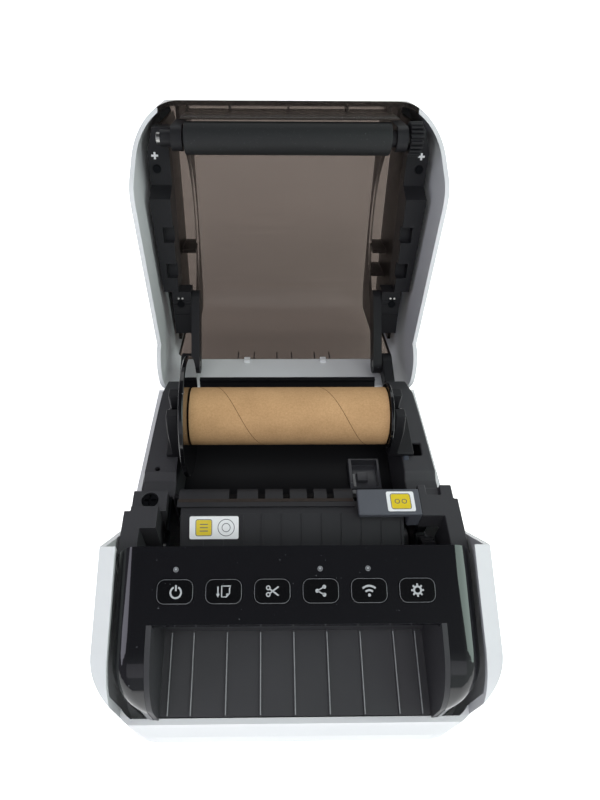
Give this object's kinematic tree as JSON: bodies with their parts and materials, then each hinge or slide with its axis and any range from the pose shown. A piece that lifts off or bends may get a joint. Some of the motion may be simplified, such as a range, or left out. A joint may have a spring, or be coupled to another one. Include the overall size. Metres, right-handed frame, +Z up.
{
  "type": "label printer",
  "caption": "Desktop label printer with a hinged lid and smoked window, a spool in a curved bay, a platen roller, a cutter and a sloping key panel over its tray.",
  "frame": {"origin": "centre of the four rubber feet, on the surface that the printer stands on", "axes": "+Z up, +X to the right and +Y to the rear; the labels leave towards -Y"},
  "size_m": [0.17, 0.3358, 0.1768],
  "materials": {
    "white_casing": "fine moulded texture",
    "gloss_panel": "polished",
    "gloss_keys": "polished",
    "lamp_lens": "translucent",
    "smoked_window": "clear moulded, smoked",
    "black_plastic": "fine moulded texture",
    "spool_plastic": "moulded",
    "kraft_board": "wound paper",
    "roller_rubber": "ground",
    "foot_rubber": "moulded",
    "bright_steel": "turned",
    "blackened_steel": "blackened",
    "sheet_steel": "rolled",
    "motor_steel": "zinc plated",
    "gear_plastic": "natural acetal",
    "sink_aluminium": "extruded",
    "head_ceramic": "glazed",
    "board_laminate": "solder mask",
    "switch_plastic": "moulded",
    "socket_plastic": "moulded",
    "socket_steel": "stamped",
    "sensor_plastic": "clear smoked"
  },
  "bodies": {
    "base": {"lower_case": "white_casing", "rubber_feet": "foot_rubber", "frame_screws": "blackened_steel", "bay_floor": "black_plastic", "left_flank": "black_plastic", "right_flank": "black_plastic", "left_cradle": "black_plastic", "right_cradle": "black_plastic", "hinge_ears": "black_plastic", "hinge_pins": "bright_steel", "front_panel": "gloss_panel", "lamp_lenses": "lamp_lens", "key_board": "board_laminate", "key_switches": "switch_plastic", "output_tray": "black_plastic", "media_guide": "black_plastic", "comb_plate": "black_plastic", "print_head": "head_ceramic", "heat_sink": "sink_aluminium", "head_springs": "bright_steel", "head_carrier": "sheet_steel", "side_plates": "blackened_steel", "left_block": "black_plastic", "right_block": "black_plastic", "gear_cover": "black_plastic", "media_sensor": "sensor_plastic", "idler_shaft": "bright_steel", "drive_motor": "motor_steel", "fixed_blade": "sheet_steel", "cutter_motor": "motor_steel", "main_board": "board_laminate", "power_inlet": "socket_plastic", "usb_port": "socket_steel", "network_port": "socket_plastic"},
    "lid": {"lid_shell": "white_casing", "lid_window": "smoked_window", "roller_guard": "black_plastic", "left_rail": "black_plastic", "right_rail": "black_plastic", "left_arm": "black_plastic", "right_arm": "black_plastic", "platen_bushes": "black_plastic", "lid_screws": "blackened_steel"},
    "platen": {"platen_rubber": "roller_rubber", "platen_shaft": "bright_steel", "platen_gear": "black_plastic"},
    "spool": {"spool_shaft": "spool_plastic", "left_flange": "spool_plastic", "right_flange": "spool_plastic"},
    "core": {"roll_core": "kraft_board"},
    "idler": {"idler_gear": "black_plastic"},
    "pinion": {"motor_pinion": "black_plastic"},
    "blade": {"moving_blade": "sheet_steel"},
    "cutter_drive": {"cutter_pinion": "gear_plastic"},
    "power_key": {"power_key": "gloss_keys"},
    "feed_key": {"feed_key": "gloss_keys"},
    "cut_key": {"cut_key": "gloss_keys"},
    "link_key": {"link_key": "gloss_keys"},
    "wireless_key": {"wireless_key": "gloss_keys"},
    "setup_key": {"setup_key": "gloss_keys"}
  },
  "joints": [
    {"name": "lid_hinge", "type": "hinge", "parent": "base", "child": "lid", "pos_m": [0, 0.0932, 0.0494], "axis": [-1, 0, 0], "range_deg": [-108, 0]},
    {"name": "platen_spin", "type": "hinge", "parent": "lid", "child": "platen", "pos_m": [0, 0.15002, 0.16668], "axis": [1, 0, 0], "continuous": true},
    {"name": "spool_lift", "type": "slide", "parent": "base", "child": "spool", "axis": [0, 0, 1], "range_m": [0, 0.06]},
    {"name": "core_spin", "type": "hinge", "parent": "spool", "child": "core", "pos_m": [0, 0.028, 0.0815], "axis": [1, 0, 0], "continuous": true},
    {"name": "idler_spin", "type": "hinge", "parent": "base", "child": "idler", "pos_m": [0, -0.03874, 0.04659], "axis": [1, 0, 0], "continuous": true},
    {"name": "motor_spin", "type": "hinge", "parent": "base", "child": "pinion", "pos_m": [0, -0.0235, 0.0378], "axis": [1, 0, 0], "continuous": true},
    {"name": "cutter_slide", "type": "slide", "parent": "base", "child": "blade", "axis": [0, 0, -1], "range_m": [0, 0.005]},
    {"name": "cutter_spin", "type": "hinge", "parent": "base", "child": "cutter_drive", "pos_m": [0, -0.0614, 0.0675], "axis": [1, 0, 0], "range_deg": [-75, 0]},
    {"name": "power_press", "type": "slide", "parent": "base", "child": "power_key", "axis": [0, -0.342, 0.9397], "range_m": [-0.0006, 0], "stiffness_N_per_m": 400},
    {"name": "feed_press", "type": "slide", "parent": "base", "child": "feed_key", "axis": [0, -0.342, 0.9397], "range_m": [-0.0006, 0], "stiffness_N_per_m": 400},
    {"name": "cut_press", "type": "slide", "parent": "base", "child": "cut_key", "axis": [0, -0.342, 0.9397], "range_m": [-0.0006, 0], "stiffness_N_per_m": 400},
    {"name": "link_press", "type": "slide", "parent": "base", "child": "link_key", "axis": [0, -0.342, 0.9397], "range_m": [-0.0006, 0], "stiffness_N_per_m": 400},
    {"name": "wireless_press", "type": "slide", "parent": "base", "child": "wireless_key", "axis": [0, -0.342, 0.9397], "range_m": [-0.0006, 0], "stiffness_N_per_m": 400},
    {"name": "setup_press", "type": "slide", "parent": "base", "child": "setup_key", "axis": [0, -0.342, 0.9397], "range_m": [-0.0006, 0], "stiffness_N_per_m": 400}
  ],
  "couplings": [
    {"joint": "motor_spin", "follows": "idler_spin", "ratio": -2.6667},
    {"joint": "cutter_spin", "follows": "cutter_slide", "rad_per_m": -250}
  ]
}
